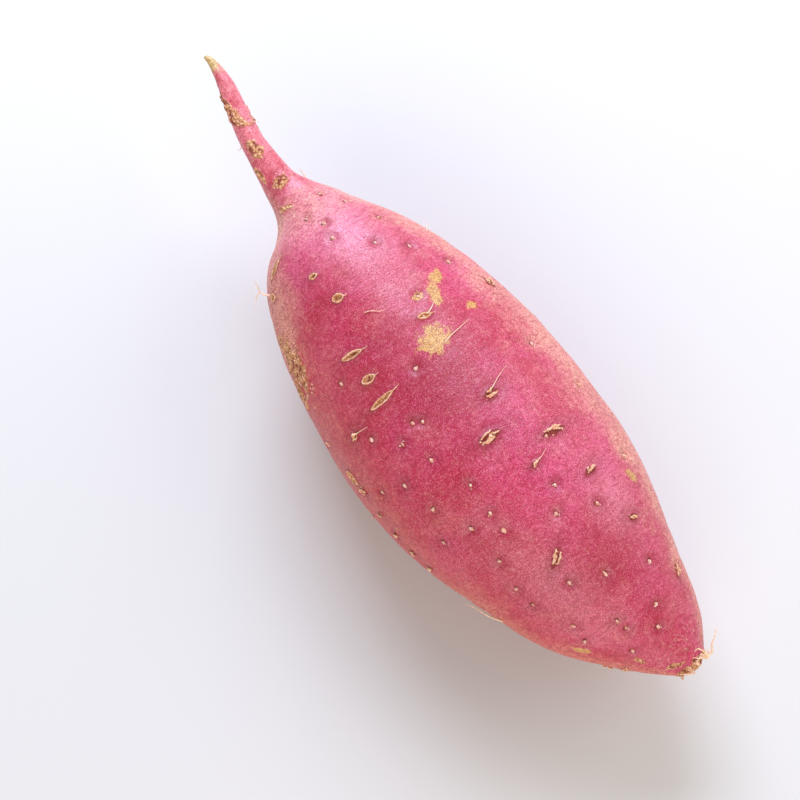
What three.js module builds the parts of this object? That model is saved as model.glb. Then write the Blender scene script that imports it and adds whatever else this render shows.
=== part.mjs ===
// A red-skinned sweet potato: one storage root, as dug, lying on its belly with its tail root on.
//
// Frame: millimetres, +Z up, +X from the tail root to the stem end. The origin is the middle of
// the root's bounding box, on the surface that the root lies on.
import * as THREE from 'three';

// How finely the skin is divided.
const RINGS = 88;       // cross-sections from the tip of the tail to the stem end
const POINTS = 40;      // points round each cross-section

// The root's girth at places along it, each cross-section square to X. `middle` is the Y of the
// section's centre and `half` its half width. `waist` is the height of its widest line above the
// surface, and the section goes `rise` above that line and `drop` below it.
const SECTIONS = [
  // tail root: a thin, slightly bent rootlet that lifts off the surface
  { along: -98.5, middle: 10.5, half: 0.8, waist: 42.0, rise: 0.8, drop: 0.8 },
  { along: -96.5, middle: 10.8, half: 1.2, waist: 41.7, rise: 1.2, drop: 1.2 },
  { along: -93.0, middle: 10.6, half: 1.8, waist: 40.8, rise: 1.8, drop: 1.8 },
  { along: -89.0, middle: 9.9, half: 2.4, waist: 39.8, rise: 2.4, drop: 2.4 },
  { along: -84.0, middle: 8.4, half: 2.7, waist: 38.5, rise: 2.7, drop: 2.7 },
  { along: -76.0, middle: 6.3, half: 3.1, waist: 37.0, rise: 3.1, drop: 3.1 },
  { along: -69.0, middle: 5.4, half: 3.7, waist: 35.6, rise: 3.7, drop: 3.7 },
  // neck, where the tail flares into the shoulder
  { along: -62.0, middle: 4.8, half: 4.8, waist: 34.0, rise: 4.7, drop: 4.8 },
  { along: -57.0, middle: 5.5, half: 6.5, waist: 32.8, rise: 6.2, drop: 6.4 },
  { along: -53.0, middle: 5.7, half: 8.8, waist: 32.2, rise: 8.4, drop: 8.6 },
  { along: -49.5, middle: 4.8, half: 11.5, waist: 31.7, rise: 11.0, drop: 11.0 },
  { along: -46.0, middle: 3.0, half: 15.0, waist: 31.3, rise: 14.2, drop: 14.2 },
  // shoulder
  { along: -42.0, middle: 2.2, half: 18.0, waist: 31.0, rise: 16.9, drop: 17.0 },
  { along: -36.0, middle: 2.0, half: 21.3, waist: 30.6, rise: 19.8, drop: 20.0 },
  { along: -28.0, middle: 1.8, half: 24.6, waist: 30.1, rise: 22.8, drop: 23.2 },
  { along: -18.0, middle: 1.5, half: 27.3, waist: 29.6, rise: 25.4, drop: 26.2 },
  // body
  { along: -8.0, middle: 1.0, half: 29.2, waist: 29.2, rise: 27.4, drop: 28.6 },
  { along: 4.0, middle: 0.3, half: 30.8, waist: 28.9, rise: 29.2, drop: 29.6 },
  { along: 16.0, middle: -0.3, half: 31.6, waist: 28.8, rise: 30.2, drop: 29.8 },
  { along: 28.0, middle: -0.4, half: 31.3, waist: 28.8, rise: 30.2, drop: 29.8 },
  { along: 40.0, middle: 0.1, half: 30.0, waist: 28.7, rise: 29.0, drop: 29.2 },
  { along: 52.0, middle: 0.7, half: 27.4, waist: 28.5, rise: 26.6, drop: 27.2 },
  { along: 64.0, middle: 0.5, half: 23.7, waist: 28.1, rise: 22.8, drop: 23.6 },
  { along: 74.0, middle: 0.8, half: 19.7, waist: 27.5, rise: 18.8, drop: 19.4 },
  // stem end, which is blunt
  { along: 82.0, middle: 2.1, half: 15.6, waist: 26.9, rise: 14.8, drop: 15.2 },
  { along: 88.0, middle: 3.3, half: 11.8, waist: 26.3, rise: 11.0, drop: 11.2 },
  { along: 92.0, middle: 3.8, half: 8.8, waist: 25.8, rise: 8.2, drop: 8.4 },
  { along: 95.0, middle: 4.0, half: 6.2, waist: 25.4, rise: 5.8, drop: 6.0 },
  { along: 97.2, middle: 4.5, half: 3.9, waist: 25.1, rise: 3.7, drop: 3.8 },
  { along: 98.4, middle: 4.8, half: 1.8, waist: 25.0, rise: 1.7, drop: 1.7 },
];

// Low swellings that run slowly round the root as it goes along, because a grown root is never
// quite oval. `depth` is a fraction of the girth, `lobes` how many fit round a section, `twist`
// how far they turn for each millimetre along, and `start` where they begin, both in radians.
const SWELLINGS = [
  { depth: 0.012, lobes: 2, twist: 0.055, start: 0.6 },
  { depth: 0.010, lobes: 3, twist: -0.040, start: 2.0 },
  { depth: 0.007, lobes: 5, twist: 0.070, start: 0.0 },
];

// A smooth line through one or more of the sections' measures.
function smoothLine(toPoint) {
  return new THREE.CatmullRomCurve3(SECTIONS.map(toPoint), false, 'catmullrom', 0.5);
}

const centreLine = smoothLine((s) => new THREE.Vector3(s.along, s.middle, s.waist));
const girthLine = smoothLine((s) => new THREE.Vector3(s.half, s.rise, s.drop));

function swelling(along, angle) {
  return SWELLINGS.reduce(
    (sum, w) => sum + w.depth * Math.sin(w.lobes * angle + w.twist * along + w.start),
    0,
  );
}

// One cross-section's points, counter-clockwise as seen from the stem end. The belly is pressed
// flat where it would go below the surface, which gives the patch that the root rests on.
function ring(t) {
  const centre = centreLine.getPoint(t);
  const girth = girthLine.getPoint(t);
  const points = [];
  for (let i = 0; i < POINTS; i++) {
    const angle = (2 * Math.PI * i) / POINTS;
    const full = 1 + swelling(centre.x, angle);
    const height = Math.sin(angle) >= 0 ? girth.y : girth.z;
    const y = centre.y + girth.x * Math.cos(angle) * full;
    const z = centre.z + height * Math.sin(angle) * full;
    points.push(new THREE.Vector3(centre.x, y, Math.max(z, 0)));
  }
  return points;
}

// The closed skin: a band of faces between each ring and the next, and a fan over each end.
function skinGeometry() {
  const rings = [];
  for (let r = 0; r < RINGS; r++) rings.push(ring(r / (RINGS - 1)));
  const vertices = rings.flat();
  vertices.push(centreLine.getPoint(0), centreLine.getPoint(1));
  const tailTip = vertices.length - 2;
  const stemEnd = vertices.length - 1;

  const faces = [];
  for (let i = 0; i < POINTS; i++) {
    const next = (i + 1) % POINTS;
    for (let r = 0; r < RINGS - 1; r++) {
      const here = r * POINTS;
      const ahead = here + POINTS;
      faces.push(here + i, here + next, ahead + next);
      faces.push(here + i, ahead + next, ahead + i);
    }
    const last = (RINGS - 1) * POINTS;
    faces.push(tailTip, next, i);
    faces.push(stemEnd, last + i, last + next);
  }

  const geometry = new THREE.BufferGeometry().setFromPoints(vertices);
  geometry.setIndex(faces);
  return geometry;
}

// Puts the middle of the box over the origin. The belly is at height 0 already.
function centreOverOrigin(geometry) {
  geometry.computeBoundingBox();
  const middle = geometry.boundingBox.getCenter(new THREE.Vector3());
  geometry.translate(-middle.x, -middle.y, 0);
  geometry.computeVertexNormals();
  return geometry;
}

const skin = new THREE.MeshStandardMaterial({ color: 0xc85572, roughness: 0.62, metalness: 0 });

const root = new THREE.Mesh(centreOverOrigin(skinGeometry()), skin);
root.name = 'sweet_potato';

const part = new THREE.Group();
part.add(root);

export default part;
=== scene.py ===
# %% [markdown]
# # A red-skinned sweet potato
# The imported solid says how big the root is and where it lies. This lesson gives it its looks: a
# thin rosy skin with pores, root scars and scabs, dry cork on them, and the hair roots that a dug
# root still carries. Nothing moves, so every piece rides on the one body, "root".

import math
import random

import bmesh
import bpy
import numpy as np
from mathutils import Matrix, Vector, noise
from mathutils.bvhtree import BVHTree


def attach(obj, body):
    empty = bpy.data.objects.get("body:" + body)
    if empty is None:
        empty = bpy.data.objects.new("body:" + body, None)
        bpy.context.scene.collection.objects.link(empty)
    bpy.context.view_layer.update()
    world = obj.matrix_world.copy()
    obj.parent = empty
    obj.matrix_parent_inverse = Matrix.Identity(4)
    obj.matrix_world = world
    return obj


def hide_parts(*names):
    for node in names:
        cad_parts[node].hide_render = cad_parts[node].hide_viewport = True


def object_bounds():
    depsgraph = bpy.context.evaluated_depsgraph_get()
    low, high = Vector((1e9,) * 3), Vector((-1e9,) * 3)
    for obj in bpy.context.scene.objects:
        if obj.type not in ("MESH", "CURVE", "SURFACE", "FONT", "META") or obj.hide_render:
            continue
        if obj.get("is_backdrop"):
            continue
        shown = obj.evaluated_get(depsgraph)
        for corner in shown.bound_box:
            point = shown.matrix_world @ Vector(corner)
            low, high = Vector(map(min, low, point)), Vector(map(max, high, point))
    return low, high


MM = 0.001
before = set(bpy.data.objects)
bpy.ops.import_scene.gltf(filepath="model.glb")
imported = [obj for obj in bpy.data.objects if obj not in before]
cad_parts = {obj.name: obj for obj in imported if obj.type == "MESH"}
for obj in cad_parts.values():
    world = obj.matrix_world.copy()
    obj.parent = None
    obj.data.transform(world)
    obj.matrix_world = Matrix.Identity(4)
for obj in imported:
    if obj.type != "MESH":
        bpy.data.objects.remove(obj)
cad_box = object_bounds()
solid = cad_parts["sweet_potato"]
low, high = cad_box
middle = (low + high) / 2
print("the root is", [round(side / MM, 1) for side in high - low], "mm")

# %% [markdown]
# ## The camera
# The root is seen from high above, a little from its stem end. A long lens keeps the far end from
# shrinking. The camera could be turned by hand, but here its place follows from the two angles and
# the width of its picture. It aims a little off the middle, so that the root lies in the frame as
# it would on a table below us.

# %% Place the camera
LENS, SENSOR = 85, 36
VIEW_AZIMUTH, VIEW_ELEVATION = math.radians(50), math.radians(75)
PICTURE_WIDTH = 200 * MM
AIM_OFFSET = Vector((1.45, -8.15, 1.65)) * MM


def add_object(name, data):
    """A new object in the scene, which shows that mesh, light or camera."""
    made = bpy.data.objects.new(name, data)
    bpy.context.scene.collection.objects.link(made)
    return made


back = Vector((
    math.sin(VIEW_AZIMUTH) * math.cos(VIEW_ELEVATION),
    -math.cos(VIEW_AZIMUTH) * math.cos(VIEW_ELEVATION),
    math.sin(VIEW_ELEVATION),
))
right = Vector((math.cos(VIEW_AZIMUTH), math.sin(VIEW_AZIMUTH), 0))
aim = middle + AIM_OFFSET

camera = add_object("camera", bpy.data.cameras.new("camera"))
camera.data.lens = LENS
camera.data.sensor_width = SENSOR
turned = Matrix((right, back.cross(right), back)).transposed()
camera.matrix_world = Matrix.Translation(aim + back * PICTURE_WIDTH * LENS / SENSOR) @ turned.to_4x4()
bpy.context.scene.camera = camera
bpy.context.scene.view_settings.view_transform = "Standard"
print("camera at", [round(c / MM) for c in camera.matrix_world.translation], "mm")

# %% [markdown]
# ## The floor and the light
# The skin is satin: it shows a light as a broad soft glow, and a bare lamp would leave a hard
# spot. A slightly cool soft box beyond the tail end gives the shoulder its lilac glow, one to the
# right lights that flank, and a wide weak one fills in from the stem end; a painted highlight in
# the skin's colour adds to the glow on the shoulder and the right side. A pale room lifts the
# rest, as on a tabletop set, and so does the bounce of the plain pale floor.

# %% Build the set
FLOOR_SIZE = 4.0
FLOOR_COLOUR, FLOOR_ROUGHNESS = (0.66, 0.64, 0.61, 1), 0.9
ROOM_STRENGTH = 0.34
# name, direction, distance and size in metres, power in watts, colour
SOFT_BOXES = [
    ("cool soft box beyond the tail", (-0.70, 0.42, 0.58), 0.8, 0.52, 10.6, (0.70, 0.78, 1.0)),
    ("soft box to the right", (0.32, 0.74, 0.52), 0.8, 0.60, 2.6, (1.0, 0.98, 1.0)),
    ("wide soft box at the stem end", (0.66, -0.58, 0.46), 0.9, 0.9, 6.4, (1.0, 0.95, 0.92)),
]


def set_inputs(tree, node, inputs):
    """Gives inputs, by name or by place, a value or a link to another node's output."""
    for place, value in inputs.items():
        if isinstance(value, bpy.types.NodeSocket):
            tree.links.new(value, node.inputs[place])
        else:
            node.inputs[place].default_value = value


def start_nodes(owner, shader_name):
    """Turns on the nodes of a material or world, and returns its tree and its shader."""
    owner.use_nodes = True
    return owner.node_tree, owner.node_tree.nodes[shader_name]


floor_paint = bpy.data.materials.new("pale floor")
tree, shader = start_nodes(floor_paint, "Principled BSDF")
set_inputs(tree, shader, {"Base Color": FLOOR_COLOUR, "Roughness": FLOOR_ROUGHNESS})
floor_mesh = bpy.data.meshes.new("floor")
half = FLOOR_SIZE / 2
floor_corners = [(-half, -half), (half, -half), (half, half), (-half, half)]
floor_mesh.from_pydata([(x, y, low.z) for x, y in floor_corners], [], [(0, 1, 2, 3)])
floor_mesh.materials.append(floor_paint)
add_object("floor", floor_mesh)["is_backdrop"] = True

for name, direction, distance, size, power, colour in SOFT_BOXES:
    light = bpy.data.lights.new(name, "AREA")
    light.color, light.size, light.energy = colour, size, power
    box = add_object(name, light)
    away = Vector(direction).normalized()
    box.location = middle + away * distance
    box.rotation_euler = away.to_track_quat("Z", "Y").to_euler()

room = bpy.data.worlds.new("pale room")
tree, shader = start_nodes(room, "Background")
set_inputs(tree, shader, {"Color": (1, 1, 1, 1), "Strength": ROOM_STRENGTH})
bpy.context.scene.world = room
print("floor", FLOOR_SIZE, "m square and", len(SOFT_BOXES), "soft boxes")

# %% [markdown]
# ## Helpers for node trees
# Materials and Geometry Nodes are both trees of nodes. They could be drawn in the node editor, but
# a script can be read and run again. One helper adds a node: it sets the node's options, then its
# inputs. The others name what a few nodes do together.

# %% Add nodes to a tree
def add_node(tree, kind, inputs=None, **options):
    """Adds a node and returns it."""
    node = tree.nodes.new(kind)
    for option, value in options.items():
        setattr(node, option, value)
    set_inputs(tree, node, inputs or {})
    return node


def made_by(tree, kind, inputs=None, **options):
    """Adds a node and returns what it puts out first."""
    return add_node(tree, kind, inputs, **options).outputs[0]


def add_maths(tree, operation, *values):
    """A sum, product or other result of one, two or three numbers."""
    return made_by(tree, "ShaderNodeMath", dict(enumerate(values)), operation=operation)


def times(tree, first, second):
    return add_maths(tree, "MULTIPLY", first, second)


def spread(tree, value, start, end, to_start=0.0, to_end=1.0):
    """Stretches the values from start to end over to_start to to_end, and holds them there."""
    stretched = {"Value": value, 1: start, 2: end, 3: to_start, 4: to_end}
    return made_by(tree, "ShaderNodeMapRange", stretched)


def blobs(tree, where, per_metre, detail, roughness):
    """Noise from 0 to 1 with about that many blobs in a metre."""
    settings = {"Vector": where, "Scale": per_metre, "Detail": detail, "Roughness": roughness}
    return made_by(tree, "ShaderNodeTexNoise", settings)


def cloud(tree, where, size, detail=2.0, roughness=0.5):
    """Cloudy noise from 0 to 1 whose blobs are about `size` across."""
    return blobs(tree, where, 1 / size, detail, roughness)


def blend_colours(tree, amount, first, second):
    """first where amount is 0, and second laid over it where amount is 1."""
    return add_node(tree, "ShaderNodeMix", {0: amount, 6: first, 7: second}, data_type="RGBA").outputs[2]


def paint(red, green, blue):
    """A colour given as on a paint chart, from 0 to 255, as the light values that nodes use."""
    def to_light(part):
        part /= 255
        return part / 12.92 if part <= 0.04045 else ((part + 0.055) / 1.055) ** 2.4
    return (to_light(red), to_light(green), to_light(blue), 1.0)


# %% Mix the paints
MAGENTA = paint(190, 14, 60)
ROSE = paint(214, 62, 112)
BLOOM_AND_HIGHLIGHT = paint(246, 150, 174)
SALMON = paint(244, 134, 120)
BRICK = paint(190, 28, 38)
CRIMSON = paint(154, 4, 42)
WINE = paint(124, 6, 28)
DUST_AND_SHEEN_TAN = paint(238, 172, 142)
SHADE_BROWN = paint(132, 34, 26)
UMBER = paint(146, 74, 36)
TAN = paint(212, 146, 92)
CREAM = paint(253, 210, 172)
SHELL = paint(255, 214, 196)
APRICOT = paint(240, 162, 114)
OCHRE = paint(220, 170, 92)
OLIVE = paint(158, 108, 44)
STRAW = paint(222, 192, 130)
print("paints are mixed")

# %% [markdown]
# ## Shared finishes
# Two finishes turn up on more than one piece. `grain` is the fine light and dark speckle of plant
# cells under a thin skin. `cork` is dry, crumbly plant tissue: brown in its cracks, partly as
# painted shade, and cream on its edges. Each is a node group, so that a piece places it with its
# own sizes.

# %% Make the shared finishes
def new_group(name, tree_type, main_input, numbers, outputs):
    """An empty group, and the sockets that it is given and that its result goes to."""
    group = bpy.data.node_groups.new(name, tree_type)
    group.interface.new_socket(main_input, in_out="INPUT", socket_type="NodeSocket" + main_input)
    for label, value in numbers.items():
        socket = group.interface.new_socket(label, in_out="INPUT", socket_type="NodeSocketFloat")
        socket.default_value = value
    for label, kind in outputs.items():
        group.interface.new_socket(label, in_out="OUTPUT", socket_type="NodeSocket" + kind)
    return group, add_node(group, "NodeGroupInput").outputs, add_node(group, "NodeGroupOutput").inputs


def make_grain():
    group, given, result = new_group(
        "grain", "ShaderNodeTree", "Vector", {"Cell": 0.45 * MM}, {"Shade": "Float", "Height": "Float"}
    )
    where = given["Vector"]
    scale = add_maths(group, "DIVIDE", 1.0, given["Cell"])
    cells = blobs(group, where, scale, 2.0, 0.7)
    blots = blobs(group, where, times(group, scale, 0.3), 3.0, 0.6)
    both = add_maths(group, "MULTIPLY_ADD", blots, 0.25, times(group, cells, 0.75))
    group.links.new(spread(group, both, 0.38, 0.62), result["Shade"])
    group.links.new(cells, result["Height"])
    return group


def make_cork():
    group, given, result = new_group(
        "cork", "ShaderNodeTree", "Vector", {"Flake": 0.8 * MM}, {"Colour": "Color", "Height": "Float"}
    )
    where = given["Vector"]
    scale = add_maths(group, "DIVIDE", 1.0, given["Flake"])
    flakes = made_by(
        group, "ShaderNodeTexVoronoi", {"Vector": where, "Scale": scale, "Randomness": 1.0},
        feature="DISTANCE_TO_EDGE",
    )
    wear = blobs(group, where, scale, 4.0, 0.7)
    height = add_maths(group, "ADD", spread(group, flakes, 0.0, 0.35, 0.0, 0.5),
                       spread(group, wear, 0.3, 0.7, 0.0, 0.5))
    # The colour follows the flakes' height, so the umber in the cracks is partly painted shade.
    ramp = add_node(group, "ShaderNodeValToRGB", {0: height})
    stops = ramp.color_ramp.elements
    stops[0].position, stops[0].color = 0.12, UMBER
    stops[1].position, stops[1].color = 0.9, CREAM
    stops.new(0.45).color = TAN
    group.links.new(ramp.outputs[0], result["Colour"])
    group.links.new(height, result["Height"])
    return group


GRAIN = make_grain()
CORK = make_cork()
print("finishes:", GRAIN.name, "and", CORK.name)


# %% Start a material
def start_material(name):
    """A new material, its shader and the coordinates of the piece it is on."""
    made = bpy.data.materials.new(name)
    tree, shader = start_nodes(made, "Principled BSDF")
    return made, tree, shader, add_node(tree, "ShaderNodeTexCoord").outputs["Object"]


def use_finish(tree, group, where, **sizes):
    """Places a shared finish in a material with its own sizes."""
    return add_node(tree, "ShaderNodeGroup", {"Vector": where, **sizes}, node_tree=group)


def pressed(tree, height, depth):
    """The normal of a surface with the height pressed into it, `depth` deep."""
    return made_by(tree, "ShaderNodeBump", {"Height": height, "Distance": depth, "Strength": 1.0})

# %% [markdown]
# ## The skin's material
# The colour sits in a thin layer, so it is uneven: cloudy patches of magenta and rose a few
# centimetres wide, blotches of a few millimetres, wrinkles that wind across the root, with
# painted shade in their creases, and the grain. A flat picture could be wrapped round the root,
# but it would stretch at both ends, so the colours are laid over each other like coats of paint,
# each through a mask of its own.
#
# Some masks are noise. The others are point attributes that the mesh further down carries: skin
# that is `pale` (on the shoulder and the right side a painted highlight), `deep` or `brick` red,
# darker round a mark (in the scars' dimples a painted shade), tan on the sides with dust and a
# painted sheen, `flecked` with dry tissue, dark brown in pits and gaps as painted shade and beside
# each stub as a painted shadow, `ochre` stains, `corky` crusts and the `straw` tip of the tail.
# Noise breaks up the edge of a hard mask, so that it looks grown. The shader's own sheen gives the
# dusty bloom where the skin turns away from the eye, and the tan on the two sides paints more of it.

# %% Mask and wrinkle the skin
def read_mask(tree, name):
    """A point attribute of the mesh."""
    return add_node(tree, "ShaderNodeAttribute", attribute_name=name).outputs["Fac"]


def ragged_mask(tree, name, where, size, softness, raggedness=0.8):
    """A point attribute as a mask from 0 to 1 with a ragged edge."""
    ragged = add_maths(tree, "SUBTRACT", cloud(tree, where, size, 3.0, 0.65), 0.5)
    edge = add_maths(tree, "MULTIPLY_ADD", ragged, raggedness, read_mask(tree, name))
    return spread(tree, edge, 0.5 - softness, 0.5 + softness)


def squeeze(tree, where, amount):
    """Coordinates squeezed lengthwise, so that noise on them runs across the root."""
    return made_by(tree, "ShaderNodeMapping", {"Vector": where, "Scale": (amount, 1.0, 1.0)})


def winding_lines(tree, where, amount, size, thickness):
    """Thin lines that wind across the root like wrinkles: 1 on a line, and 0 away from it."""
    noisy = cloud(tree, squeeze(tree, where, amount), size, 2.0, 0.55)
    off_middle = add_maths(tree, "ABSOLUTE", add_maths(tree, "SUBTRACT", noisy, 0.5))
    return spread(tree, off_middle, 0.0, thickness, 1.0, 0.0)


# %% Mix the coats of the skin
def bare_skin_coats(tree, where, shade, wrinkles, winding):
    """The coats of the living skin, with painted highlights, a painted sheen and painted shade in its
    creases, from the lowest: how much, and which colour.
    """
    bricks = read_mask(tree, "brick")
    bloom_and_highlight = blend_colours(tree, bricks, BLOOM_AND_HIGHLIGHT, SALMON)
    haze = spread(tree, cloud(tree, where, 6 * MM, 3.0, 0.55), 0.48, 0.74, 0.0, 0.22)
    haze = times(tree, haze, add_maths(tree, "SUBTRACT", 1.0, bricks))
    smudges = spread(tree, cloud(tree, where, 9 * MM, 4.0, 0.6), 0.52, 0.74, 0.0, 0.20)
    # Tan on the sides: dust, and a painted sheen along the two edges seen from above.
    dust_and_sheen = ragged_mask(tree, "dust_and_sheen", where, 1.6 * MM, 0.45, 1.3)
    return dust_and_sheen, [
        (bricks, BRICK),
        # Paler: a random haze, the pale neck and tail, and painted highlights on the shoulder and the right
        # side.
        (add_maths(tree, "MAXIMUM", haze, read_mask(tree, "pale")), bloom_and_highlight),
        (read_mask(tree, "deep"), CRIMSON),
        # Darker wine red round the marks: a flush round the pores, and painted shade in the dimples of the
        # scars.
        (times(tree, read_mask(tree, "flush_and_dimple_shade"), 0.62), WINE),
        (smudges, DUST_AND_SHEEN_TAN),
        (times(tree, dust_and_sheen, spread(tree, shade, 0.0, 0.8, 0.35, 0.95)), DUST_AND_SHEEN_TAN),
        (spread(tree, shade, 0.0, 0.55, 0.85, 0.0), CRIMSON),
        (spread(tree, shade, 0.55, 1.0, 0.0, 0.42), bloom_and_highlight),
        # Painted shade: crimson in the creases of the wrinkles and along the winding lines, where they sink
        # in.
        (spread(tree, wrinkles, 0.34, 0.47, 0.5, 0.0), CRIMSON),
        (times(tree, winding, 0.5), CRIMSON),
    ]


def mark_coats(tree, where, shade, flecks, corky, cork_colour, hollow_shade):
    """The coats of the marks on the skin, with painted shade in their pits and gaps, from the lowest."""
    ochre = ragged_mask(tree, "ochre", where, 0.5 * MM, 0.22, 2.0)
    straw = ragged_mask(tree, "straw", where, 1.5 * MM, 0.4)
    return [
        (flecks, CREAM),
        (times(tree, ochre, spread(tree, shade, 0.1, 0.5, 0.55, 0.95)),
         blend_colours(tree, spread(tree, shade, 0.2, 0.7), OLIVE, OCHRE)),
        (straw, blend_colours(tree, spread(tree, shade, 0.2, 0.6), OLIVE, STRAW)),
        (corky, cork_colour),
        # Dark brown in pits and gaps and beside the stubs: painted shade and shadow.
        (times(tree, hollow_shade, 0.9), SHADE_BROWN),
    ]


# %% Make the skin's material
SKIN_GLOSS = {"Specular IOR Level": 0.62, "Sheen Weight": 0.1, "Sheen Roughness": 0.4,
              "Sheen Tint": paint(240, 210, 190)}
SKIN_RELIEF = 0.06 * MM


def make_skin_material():
    made, tree, shader, where = start_material("skin")
    grain = use_finish(tree, GRAIN, where, Cell=0.29 * MM)
    shade = grain.outputs["Shade"]
    crust = use_finish(tree, CORK, where, Flake=0.8 * MM)
    wrinkles = cloud(tree, squeeze(tree, where, 4.0), 3.0 * MM, 3.0, 0.65)
    winding = winding_lines(tree, where, 2.0, 1.0 * MM, 0.05)
    spots = spread(tree, cloud(tree, where, 1.3 * MM, 3.0, 0.7), 0.60, 0.68)
    cracks = winding_lines(tree, where, 1.3, 2.0 * MM, 0.02)
    flecks = times(tree, add_maths(tree, "MAXIMUM", spots, cracks), read_mask(tree, "flecked"))
    corky = ragged_mask(tree, "corky", where, 0.7 * MM, 0.12)
    hollow_shade = ragged_mask(tree, "hollow_shade", where, 0.4 * MM, 0.3, 0.7)

    patches = spread(tree, cloud(tree, where, 22 * MM, 2.0), 0.40, 0.68)
    colour = blend_colours(tree, patches, MAGENTA, ROSE)
    dust_and_sheen, coats = bare_skin_coats(tree, where, shade, wrinkles, winding)
    coats += mark_coats(tree, where, shade, flecks, corky, crust.outputs["Colour"], hollow_shade)
    for amount, coat in coats:
        colour = blend_colours(tree, amount, colour, coat)

    satin = spread(tree, shade, 0.0, 1.0, 0.42, 0.34)
    dry = add_maths(tree, "MAXIMUM", corky, times(tree, dust_and_sheen, 0.5))
    dry = add_maths(tree, "MAXIMUM", dry, hollow_shade)
    rough = add_maths(tree, "MULTIPLY_ADD", dry, 0.4, satin)
    rough = add_maths(tree, "MINIMUM", rough, 0.9)

    height = grain.outputs["Height"]
    crusted = times(tree, corky, crust.outputs["Height"])
    for part, share in ((wrinkles, 2.2), (winding, -0.35), (flecks, 1.5), (crusted, 4.0)):
        height = add_maths(tree, "MULTIPLY_ADD", part, share, height)
    normal = pressed(tree, height, SKIN_RELIEF)
    set_inputs(tree, shader, {"Base Color": colour, "Roughness": rough, "Normal": normal, **SKIN_GLOSS})
    return made, len(coats)


SKIN, coat_count = make_skin_material()
print("skin material has", len(SKIN.node_tree.nodes), "nodes and", coat_count, "coats")

# %% [markdown]
# ## Cork and hair roots
# The same dry cork makes the lips of the pores, the crumbs of the scabs and, a little pinker, the
# stubs of fallen rootlets. Hair roots are dried to a pale brown string. These pieces are thin, so
# their colours come from their own places and need no masks.

# %% Make the cork and hair root materials
def make_cork_material(name, pale, warm, crack_shade):
    """Cork that goes from pale to warm in blots, and umber in its cracks by crack_shade: painted shade."""
    made, tree, shader, where = start_material(name)
    crust = use_finish(tree, CORK, where, Flake=0.4 * MM)
    blots = spread(tree, cloud(tree, where, 0.7 * MM), 0.44, 0.66)
    colour = blend_colours(tree, blots, pale, warm)
    # Umber in the cracks: painted shade.
    cracked = spread(tree, crust.outputs["Height"], 0.1, 0.5, crack_shade, 0.0)
    colour = blend_colours(tree, cracked, colour, UMBER)
    normal = pressed(tree, crust.outputs["Height"], 0.1 * MM)
    set_inputs(tree, shader, {"Base Color": colour, "Roughness": 0.55, "Normal": normal})
    return made


def make_hair_material():
    made, tree, shader, where = start_material("hair root")
    strings = cloud(tree, where, 0.5 * MM, 3.0)
    colour = blend_colours(tree, spread(tree, strings, 0.35, 0.6), STRAW, SHELL)
    normal = pressed(tree, strings, 0.08 * MM)
    set_inputs(tree, shader, {"Base Color": colour, "Roughness": 0.7, "Normal": normal})
    return made


DRY_CORK = make_cork_material("dry cork", CREAM, APRICOT, 0.75)
FRESH_CORK = make_cork_material("fresh cork", SHELL, APRICOT, 0.75)
HAIR = make_hair_material()
print("materials:", DRY_CORK.name + ",", FRESH_CORK.name, "and", HAIR.name)

# %% [markdown]
# ## The skin's mesh
# The skin is one closed surface. It could be swept anew through rings, but the solid has the right
# shape already, so the skin is made from the solid itself. Its triangles are merged and paired
# into quads, and subdivision rounds them off. The surface then has room for real relief.

# %% Round off the solid
def rounded_copy(source, name, levels):
    """A smooth mesh of quads made from a CAD solid, as a new object."""
    shape = bmesh.new()
    shape.from_mesh(source.data)
    bmesh.ops.remove_doubles(shape, verts=shape.verts, dist=0.002 * MM)
    bmesh.ops.join_triangles(
        shape, faces=shape.faces,
        angle_face_threshold=math.radians(50), angle_shape_threshold=math.radians(60),
    )
    rough = bpy.data.meshes.new(name)
    shape.to_mesh(rough)
    shape.free()
    holder = add_object(name, rough)
    smooth = holder.modifiers.new("round off", "SUBSURF")
    smooth.levels = smooth.render_levels = levels
    return holder


def bake_modifiers(holder):
    """Turns what an object's modifiers make into its own plain mesh."""
    scene_now = bpy.context.evaluated_depsgraph_get()
    made = bpy.data.meshes.new_from_object(holder.evaluated_get(scene_now))
    holder.modifiers.clear()
    old = holder.data
    holder.data = made
    bpy.data.meshes.remove(old)
    made.name = holder.name


skin = rounded_copy(solid, "skin", 2)
bake_modifiers(skin)
print("rounded skin:", len(skin.data.polygons), "faces")

# %% [markdown]
# ## Places on the root
# A grown root has no corners to measure from, so every mark is placed by how far `along` the root
# it is, in millimetres from the middle, and how far `around` it is, in degrees from the top
# towards +Y. A ray from the root's centre line finds the skin there. Plain coordinates would do
# too, but these two numbers always land on the skin. The centre line is read back from the solid,
# one point for each of its cross-sections.

# %% Find places on the skin
corners = np.array([vertex.co for vertex in solid.data.vertices]) / MM
stations = np.unique(np.round(corners[:, 0], 2))
sections = [corners[np.abs(corners[:, 0] - station) < 0.02] for station in stations]
centre_y = [(section[:, 1].min() + section[:, 1].max()) / 2 for section in sections]
centre_z = [(section[:, 2].min() + section[:, 2].max()) / 2 for section in sections]


def centre_at(along):
    return Vector((along, np.interp(along, stations, centre_y), np.interp(along, stations, centre_z)))


def surface_tree(holder):
    """A search tree of a mesh's faces, in millimetres."""
    mesh = holder.data
    return BVHTree.FromPolygons(
        [vertex.co / MM for vertex in mesh.vertices], [tuple(face.vertices) for face in mesh.polygons]
    )


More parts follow.
